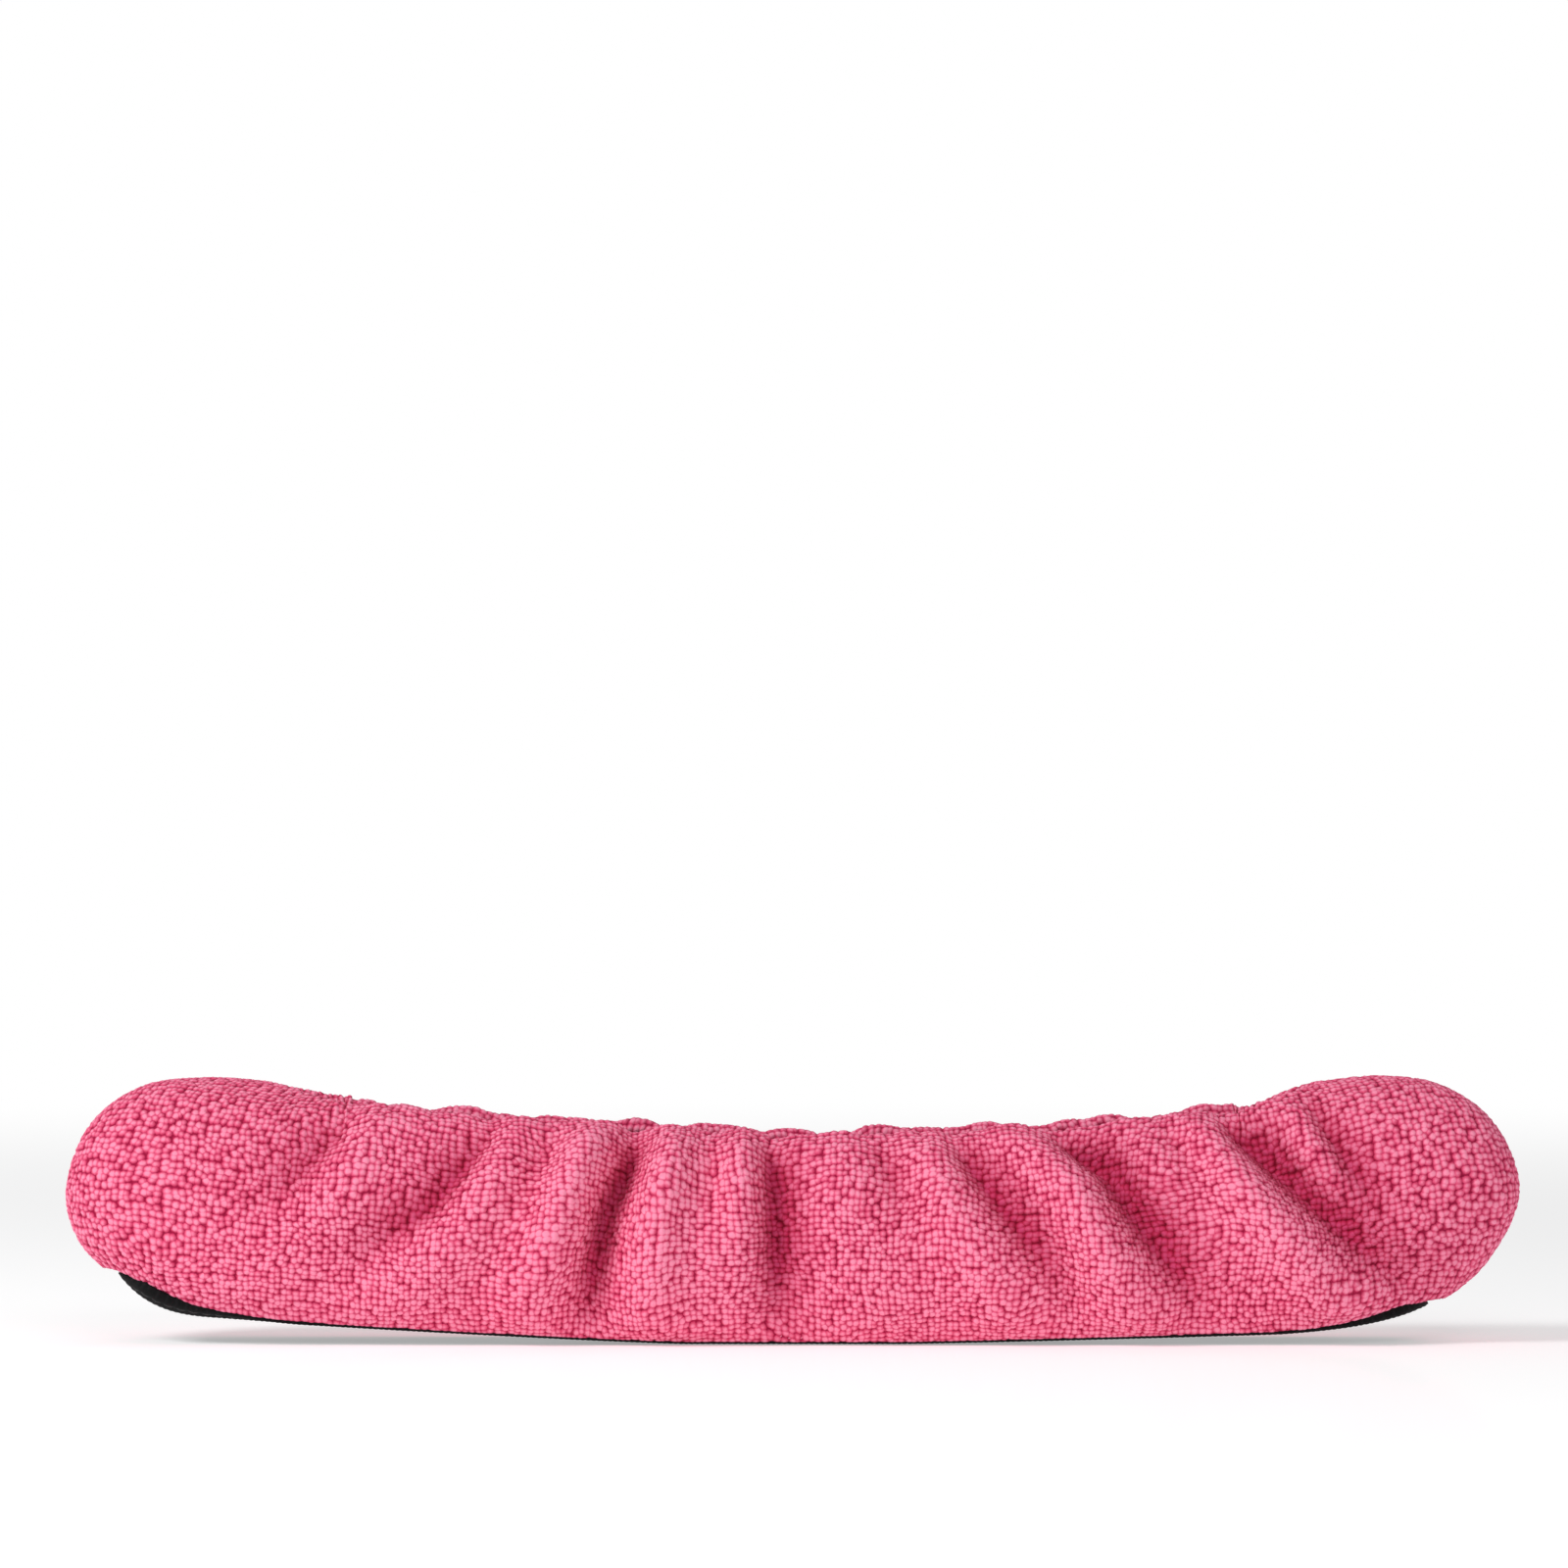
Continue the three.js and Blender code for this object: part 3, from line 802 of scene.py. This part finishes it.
# The pink of the pile, from its painted shade in the gaps between loops to its painted highlight on
# their tops.
TERRY = terry_material("terry_pile", (160, 20, 64), (204, 54, 96), (234, 98, 135), (253, 148, 178))
LINING = terry_material("terry_lining", (150, 16, 56), (206, 52, 94), (234, 92, 128), (248, 128, 160))
WEBBING = webbing_material()
BLACK_THREAD = thread_material("black_thread", linear(14, 14, 15), linear(48, 48, 50))
PINK_THREAD = thread_material("pink_thread", linear(214, 92, 132), linear(250, 160, 188))
ELASTIC = elastic_material()

# --- Cover ---


def spaced(a, b, step):
    return np.linspace(a, b, max(2, int(round(abs(b - a) / step)) + 1))


def cover_section(step):
    """The outer cloth from the sole, up and over the mouth, to the end of its hem.

    Returns places for section_rows, how far inside the skin each lies, and its share of the pile.
    """
    roll = HEM["roll"]
    section = [(("up", 0.0), inset, 0.0) for inset in (1.8, 1.2, 0.6)]
    for up in np.linspace(0, EVEN_UP, int(EVEN_UP * SIDE_RUN / step)):
        section.append((("up", up), 0.0, min(1, 0.35 + up * 20)))
    for rim in spaced(EVEN_TOP, roll, step)[1:]:
        section.append((("mixed", rim), 0.0, 1.0))
    for turn in spaced(0, math.pi, step / roll)[1:]:
        section.append((("rim", roll * (1 - math.sin(turn))), roll * (1 - math.cos(turn)), 1.0))
    for rim in spaced(roll, HEM["depth"], step)[1:]:
        section.append((("rim", rim), 2 * roll, 0.8))
    places, insets, pile = zip(*section)
    return places, np.array(insets), np.array(pile)


# Sets the cover's painted shade in the valleys of the gathers and painted highlight on the ridges
# beside them.
def fold_shade_share(points, rows, side):
    """Where each point lies in a gather: 1 in a valley's floor, below 0 on the ridges beside it."""
    depth = fold_depth(points, FOLDS[side]) * mouth_fade(rows)
    return np.clip(depth / 3.4, -1, 1)


def layer(skin, rows, insets, side, follow=1.0):
    """One layer of a side: its plain points, the gathered ones and the plain normals."""
    plain, normal = skin.at(rows, np.broadcast_to(insets, rows.shape))
    u = np.broadcast_to(skin.share[:, None], rows.shape)
    return plain, gathered(plain, normal, u, rows, side, follow), normal


def strip_half(shape, x):
    into = np.minimum(1, np.minimum(x - shape["toe"], shape["heel"] - x) / shape["corner"]).clip(0)
    return shape["half"] - shape["corner"] * (1 - np.sqrt(1 - (1 - into) ** 2))


def cupped(x, across, shape):
    """The sole strip's edges turn up towards the cover where it rises at the toe and the heel."""
    if shape is not SOLE:
        return 0.0
    toe = smooth(np.clip((-112 - x) / 34, 0, 1))
    heel = np.clip((x - 112) / 30, 0, 1)
    return (2.4 * toe + heel) * np.abs(across) ** 5


def tucked(points, normal, reaches, lift):
    """Carries the cloth's lower edge on inwards, over the sole strip's upper face."""
    inward = -normal[:, 0, :2]
    inward /= np.linalg.norm(inward, axis=1, keepdims=True)
    longer = 1 + 2 * inward[:, :1] ** 2  # at the toe and the heel it covers the end of the strip
    rows = []
    for reach in reaches:
        row = points[:, 0].copy()
        row[:, :2] += inward * reach * longer
        row[:, 1] = np.minimum(row[:, 1], 0)
        x = row[:, 0].clip(SOLE["toe"], SOLE["heel"])
        across = np.clip(row[:, 1] / strip_half(SOLE, x), -1, 1)
        upright = (SOLE["thick"] + lift) * np.hypot(1, sole_slope(x))
        row[:, 2] = sole_height(x) + upright + cupped(x, across, SOLE)
        rows.append(row)
    return np.concatenate([np.stack(rows, 1), points], 1)


def closed_ends(points):
    """The two panels meet in the middle of the toe and of the heel."""
    points[..., 1] = np.minimum(points[..., 1], -0.02)
    points[[0, -1], :, 1] = 0
    return points


def seam_dip(points, skin):
    """Each panel turns in at the centre seam over the toe and the heel."""
    edge = np.minimum(skin.belly, skin.belly[-1] - skin.belly)
    pull = 1.5 * np.exp(-((edge / 1.3) ** 2))
    return points - outward(points) * pull[:, None, None] * np.array([1.0, 0, 1.0])


def hinge_with(made):
    """Bakes the piece's placement into its mesh; its points are read but not used."""
    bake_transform(made)
    co = np.empty(len(made.data.vertices) * 3, np.float32)
    made.data.vertices.foreach_get("co", co)


def add_cover(side):
    skin = Skin(FINE_STEP)
    places, insets, pile = cover_section(FINE_STEP)
    rows = section_rows(skin, places)
    plain, points, normal = layer(skin, rows, insets, side)
    points = sagged(seam_dip(points, skin), rows)
    reaches = (5.0, 3.4, 1.7)
    points = tucked(points, normal, reaches, 0.35)
    tuck = len(reaches)
    # The painted shade and highlight of the gathers, carried to the cover's material.
    fold_shade_and_highlight = np.pad(fold_shade_share(plain, rows, side), ((0, 0), (tuck, 0)))
    pile = np.pad(pile, (tuck, 0))
    normal = outward(points)
    ends = np.clip((np.abs(points[..., 0]) - 95) / 45, 0, 1)
    height, place, loose = nubs(points, NUB_PITCH, COVER_SEED + side, 0.46 + 0.1 * ends)
    lift = (height - 0.45) * NUB_HEIGHT * pile[None]
    shaped = closed_ends(points + normal * lift[..., None])
    shaped, faces = on_side(side, shaped, quads(*shaped.shape[:2]))
    extra = {"place": place, "loose": loose, "fold_shade_and_highlight": fold_shade_and_highlight}
    made = make(f"cover_{SIDES[side]}", shaped, faces, TERRY, extra)
    hinge_with(made)
    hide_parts(*[f"{SIDES[side]}_{p}_terry" for p in PARTS])
    return made


def add_lining(side):
    skin = Skin(0.85)
    places = [("rim", r) for r in spaced(HEM["depth"] - 1.2, 14, 0.8)]
    places += [("up", u) for u in np.linspace(0.74, 0.0, 52)]
    rows = np.minimum.accumulate(section_rows(skin, places), axis=1)
    insets = np.full(len(places), 4.9)
    insets[:2] = 4.45
    _, points, normal = layer(skin, rows, insets, side, 0.9)
    points = closed_ends(tucked(points[:, ::-1], normal[:, ::-1], (3.6, 1.8), 0.75)[:, ::-1])
    height, place, loose = nubs(points, LINING_PITCH, LINING_SEED + side)
    shaped = closed_ends(points - outward(points) * ((height - 0.4) * LINING_HEIGHT)[..., None])
    shaped, faces = on_side(side, shaped, quads(*shaped.shape[:2]))
    made = make(f"lining_{SIDES[side]}", shaped, faces, LINING, {"place": place, "loose": loose})
    hinge_with(made)
    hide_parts(*[f"{SIDES[side]}_{p}_lining" for p in PARTS])
    return made


# --- Stitches and bands ---


def stitch_mesh(line, normals, pitch, length, radius, lean=0.0):
    """Short rounded stitches along a line. lean turns each one out of the line, in millimetres."""
    along = arc(line)
    count = int(along[-1] // pitch)
    sides, rings = 6, 5

    def at(grid, distance):
        return np.array([np.interp(distance, along, grid[:, i]) for i in range(3)])

    def frame_of(a, b):
        run = (b - a) / max(np.linalg.norm(b - a), 1e-9)
        return np.cross(up, run)

    coords, faces = [], []
    for k in range(count):
        mid = (k + 0.5) * pitch + (along[-1] - count * pitch) / 2
        a, b = at(line, mid - length / 2), at(line, mid + length / 2)
        up = at(normals, mid)
        up /= np.linalg.norm(up)
        turned = frame_of(a, b) * lean / 2
        a, b = a - turned, b + turned
        across = frame_of(a, b)
        start = k * rings * sides
        for j in range(rings):
            s = j / (rings - 1)
            thick = radius * (0.35 + 0.65 * math.sin(math.pi * min(max(s, 0.08), 0.92)) ** 0.5)
            arch = radius * 0.9 * math.sin(math.pi * s) - radius * 0.5
            centre = a + (b - a) * s + up * arch
            for q in range(sides):
                turn = 2 * math.pi * q / sides
                coords.append(centre + across * math.cos(turn) * thick + up * math.sin(turn) * thick)
        for j in range(rings - 1):
            for q in range(sides):
                p, n = start + j * sides + q, start + j * sides + (q + 1) % sides
                faces.append((p, n, n + sides, p + sides))
        for base, flip in ((start, True), (start + (rings - 1) * sides, False)):
            for q in ((0, 1, 2, 3), (0, 3, 4, 5)):
                face = tuple(base + v for v in q)
                faces.append(face[::-1] if flip else face)
    return np.array(coords), np.array(faces)


def add_line_stitch(name, side, place, inset, pitch, length, radius, nodes, lean=0.0):
    skin = Skin(1.5)
    _, points, normal = layer(skin, section_rows(skin, [place]), inset, side)
    out = normal[:, 0] * (-1 if inset > 0 else 1)
    coords, faces = stitch_mesh(points[2:-2, 0], out[2:-2], pitch, length, radius, lean)
    made = make(f"{name}_{SIDES[side]}", *on_side(side, coords, faces), PINK_THREAD)
    hinge_with(made)
    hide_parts(*nodes)


def add_elastic(side):
    skin = Skin(1.2)
    loop = [(2.6, 2.55), (4.4, 2.55), (6.2, 2.55), (6.2, 3.25), (4.4, 3.25), (2.6, 3.25)]
    rows = section_rows(skin, [("rim", r) for r, _ in loop])
    _, points, _ = layer(skin, rows, [inset for _, inset in loop], side)
    points[..., 1] = np.minimum(points[..., 1], -0.05)
    rib = np.broadcast_to((np.arange(skin.count) % 2)[:, None], rows.shape)
    points, faces = on_side(side, points, tube_quads(*rows.shape))
    made = make(f"elastic_{SIDES[side]}", points, faces, ELASTIC, {"rib": rib})
    hinge_with(made)
    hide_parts("elastic_band")


def above_sole(x, y, height):
    slope = sole_slope(x)
    size = np.hypot(slope, 1)
    return np.stack([x - slope * height / size, y, sole_height(x) + height / size], -1)


def add_strip(name, shape, lift, material, nodes, groove):
    """A webbing strip with cross-ribs, or a padded one with pile, and a dip at its stitching.

    groove is the face with the stitching, 1 for the upper one and -1 for the lower one.
    """
    ribbed = material is WEBBING
    x = spaced(shape["toe"], shape["heel"], 0.3 if ribbed else 0.75)
    x[0] += 0.01
    x[-1] -= 0.01
    flat = spaced(-1, 1, 0.045 if ribbed else 0.075)
    edge, upper = np.ones(3), np.ones(len(flat))
    across = np.concatenate([flat, edge, flat[::-1], -edge])
    top = np.concatenate([upper, [0.5, 0.0, -0.5], -upper, [-0.5, 0.0, 0.5]])
    face, on_face = np.sign(top), np.abs(top) > 0.6
    soft = np.clip((1 - np.abs(across)) * shape["half"] / 0.9, 0, 1)
    level = shape["thick"] / 2 * (1 + top * (1 - 0.22 * (1 - soft) ** 2))
    bulge = np.where(np.abs(across) > 0.999, 0.18 * (1 - top**2), 0)
    y = across * strip_half(shape, x).clip(0.4)[:, None] + np.sign(across) * bulge
    xs = np.broadcast_to(x[:, None], y.shape)
    rib = webbing_relief(xs, y) if ribbed else np.zeros(y.shape)
    dip = stitch_dip(xs, y, shape) * (face == groove)
    height = level + face * (0.16 * rib - 0.32 * dip) * on_face
    y = y + np.sign(across) * ~on_face * rib * 0.08
    points = above_sole(xs, y, lift + height + cupped(xs, across, shape))
    extra = {"rib": rib}
    if not ribbed:
        place = np.stack([xs / LINING_PITCH + 90, (y + 4 * top) / LINING_PITCH + 40, 0 * xs], -1)
        loose = np.full(xs.shape, 0.5)
        height = np.clip(1 - (cell_distance(place, loose) / LOOP_REACH) ** 2, 0, 1)
        points[..., 2] += (height - 0.4) * LINING_HEIGHT * (top > 0)
        extra = {"place": place, "loose": loose}
    made = make(name, points, tube_quads(*y.shape)[:, [0, 3, 2, 1]], material, extra)
    cap_ends(made.data, *y.shape)
    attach(made, "sole")
    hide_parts(*nodes)
    return made


def cap_ends(mesh, columns, around):
    edit = bmesh.new()
    edit.from_mesh(mesh)
    edit.verts.ensure_lookup_table()
    for start, flip in ((0, False), ((columns - 1) * around, True)):
        ring = [edit.verts[start + k] for k in range(around)]
        edit.faces.new(ring if flip else ring[::-1])
    bmesh.ops.recalc_face_normals(edit, faces=edit.faces)
    edit.to_mesh(mesh)
    edit.free()


def webbing_relief(x, y):
    """Plain-woven ribs across the strip, broken into ends that alternate from rib to rib."""
    row = np.floor(x / RIB_PITCH)
    ridge = np.abs(np.sin(math.pi * x / RIB_PITCH)) ** 0.7
    ends = 0.5 + 0.5 * np.cos(2 * math.pi * (y / RIB_END + 0.5 * (row % 2)))
    return ridge * (0.55 + 0.45 * ends)


def stitch_outline(shape):
    return {
        "half": shape["half"] - STITCH_IN,
        "toe": shape["toe"] + STITCH_IN,
        "heel": shape["heel"] - STITCH_IN,
        "corner": shape["corner"] - STITCH_IN,
    }


def stitch_dip(x, y, shape):
    """The thread draws the strip in along its stitching."""
    line = stitch_outline(shape)
    gap = np.abs(np.abs(y) - strip_half(line, np.clip(x, line["toe"], line["heel"])))
    return np.exp(-((gap / 0.55) ** 2)) * (np.abs(x) < 152)


def loop_line(shape, height):
    """The closed line of a strip's stitching."""
    line = stitch_outline(shape)
    ease = (1 - np.cos(np.linspace(0, math.pi, 500))) / 2
    x = line["toe"] + (line["heel"] - line["toe"]) * ease
    y = strip_half(line, x)
    xs, ys = np.concatenate([x, x[::-1]]), np.concatenate([-y, y[::-1]])
    return above_sole(xs, ys, height + cupped(xs, ys / strip_half(shape, xs), shape))


def add_loop_stitch(name, shape, height, up, nodes):
    line = loop_line(shape, height)
    normals = np.broadcast_to(np.array([0.0, 0.0, up]), line.shape)
    coords, faces = stitch_mesh(line, normals, 3.0, 2.5, 0.3)
    made = make(name, coords, faces, BLACK_THREAD)
    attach(made, "sole")
    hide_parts(*nodes)


def add_end_seam(end):
    """The zigzag over the raw edges of the centre seam, on the inside of the toe or the heel."""
    skin = Skin(3.0)
    column = 0 if end == "toe" else skin.count - 1
    rows = np.linspace(0.06, 0.82, 60)
    points, normal = skin.at(rows, np.full(rows.shape, 5.6))
    line, out = points[column], -normal[column]
    line[:, 1] = 0
    coords, faces = stitch_mesh(line, out, 2.2, 2.0, 0.28, 1.4)
    made = make(f"{end}_seam_stitch", coords, faces, PINK_THREAD)
    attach(made, "sole")
    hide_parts(f"{end}_seam_thread")


covers = [add_cover(s) for s in (0, 1)]
linings = [add_lining(s) for s in (0, 1)]
for s in (0, 1):
    hem_nodes = [f"{SIDES[s]}_{p}_hem_stitch" for p in PARTS]
    seam_nodes = [f"{SIDES[s]}_{p}_seam_stitch" for p in PARTS]
    add_line_stitch("hem_stitch", s, ("rim", 6.3), 4.85, 3.0, 2.5, 0.32, hem_nodes)
    add_line_stitch("seam_stitch", s, ("up", 0.004), -0.1, 2.6, 1.6, 0.26, seam_nodes, 1.2)
    add_elastic(s)
add_strip("sole_web", SOLE, 0.0, WEBBING, ["sole_webbing"], -1)
insole = add_strip("insole", INSOLE, INSOLE_LIFT, LINING, ["insole_terry"], 1)
add_strip("blade_web", SEAT, SEAT_LIFT, WEBBING, ["blade_strip"], 1)
add_loop_stitch("sole_stitches", SOLE, 0.28, -1, ["sole_stitch"])
add_loop_stitch("blade_stitches", SEAT, SEAT_LIFT + 1.55, 1, ["blade_strip_stitch"])
add_end_seam("toe")
add_end_seam("heel")

# --- Floor, light and camera ---


def add_floor():
    n = Nodes("floor_white")
    place = n.add("TexCoord").outputs["Object"]
    length = n.add("VectorMath", operation="LENGTH")
    n.link(place, length.inputs[0])
    fade = n.add("MapRange", interpolation_type="SMOOTHSTEP")
    fade.inputs["From Min"].default_value, fade.inputs["From Max"].default_value = 0.35, 1.4
    n.link(length.outputs["Value"], fade.inputs["Value"])
    n.set(Base_Color=(0.93, 0.93, 0.935, 1), Roughness=0.9, Specular_IOR_Level=0.0)
    n.set(Emission_Color=(1, 1, 1, 1), Emission_Strength=0.4)
    gloss = n.add("BsdfGlossy", Roughness=0.1)
    sheen = n.add("MixShader")
    sheen.inputs[0].default_value = 0.14
    n.link(n.shader.outputs[0], sheen.inputs[1])
    n.link(gloss.outputs[0], sheen.inputs[2])
    glow = n.add("Emission", Color=(1, 1, 1, 1), Strength=1.0)
    mixer = n.add("MixShader")
    n.link(fade.outputs["Result"], mixer.inputs[0])
    n.link(sheen.outputs[0], mixer.inputs[1])
    n.link(glow.outputs[0], mixer.inputs[2])
    out = next(x for x in n.tree.nodes if x.type == "OUTPUT_MATERIAL")
    n.link(mixer.outputs[0], out.inputs["Surface"])
    under = (0, 0, -0.0003)
    bpy.ops.mesh.primitive_circle_add(vertices=96, radius=12, fill_type="NGON", location=under)
    floor = bpy.context.object
    floor.name = "floor"
    floor.data.materials.append(n.material)


def add_light(name, place, size, power, target=(0, 0, 0.03)):
    light = bpy.data.lights.new(name, "AREA")
    light.shape, light.size, light.size_y, light.energy = "RECTANGLE", size[0], size[1], power
    holder = bpy.data.objects.new(name, light)
    bpy.context.scene.collection.objects.link(holder)
    holder.location = place
    aim = Vector(target) - Vector(place)
    holder.rotation_euler = aim.to_track_quat("-Z", "Y").to_euler()


def add_camera():
    data = bpy.data.cameras.new("camera")
    camera = bpy.data.objects.new("camera", data)
    bpy.context.scene.collection.objects.link(camera)
    data.sensor_width = 36
    data.lens = 179
    data.clip_start, data.clip_end = 0.05, 50
    camera.location = (-0.002, -1.8, 0.1283)
    camera.rotation_euler = (math.radians(90), 0, 0)
    bpy.context.scene.camera = camera


def add_world():
    world = bpy.data.worlds.new("studio")
    bpy.context.scene.world = world
    world.use_nodes = True
    tree = world.node_tree
    soft = tree.nodes["Background"]
    soft.inputs["Color"].default_value = (1, 1, 1, 1)
    soft.inputs["Strength"].default_value = 0.36
    plain = tree.nodes.new("ShaderNodeBackground")
    plain.inputs["Color"].default_value = (1, 1, 1, 1)
    path = tree.nodes.new("ShaderNodeLightPath")
    mixer = tree.nodes.new("ShaderNodeMixShader")
    tree.links.new(path.outputs["Is Camera Ray"], mixer.inputs[0])
    tree.links.new(soft.outputs[0], mixer.inputs[1])
    tree.links.new(plain.outputs[0], mixer.inputs[2])
    tree.links.new(mixer.outputs[0], tree.nodes["World Output"].inputs["Surface"])


add_world()
bpy.context.scene.view_settings.view_transform = "Standard"
add_floor()
add_light("key", (-1.1, -0.75, 1.0), (0.5, 0.5), 15)
add_light("front", (0.2, -1.6, 0.9), (0.8, 0.5), 4.5)
add_light("right", (1.2, -0.9, 0.35), (0.5, 0.4), 1.8)
add_camera()
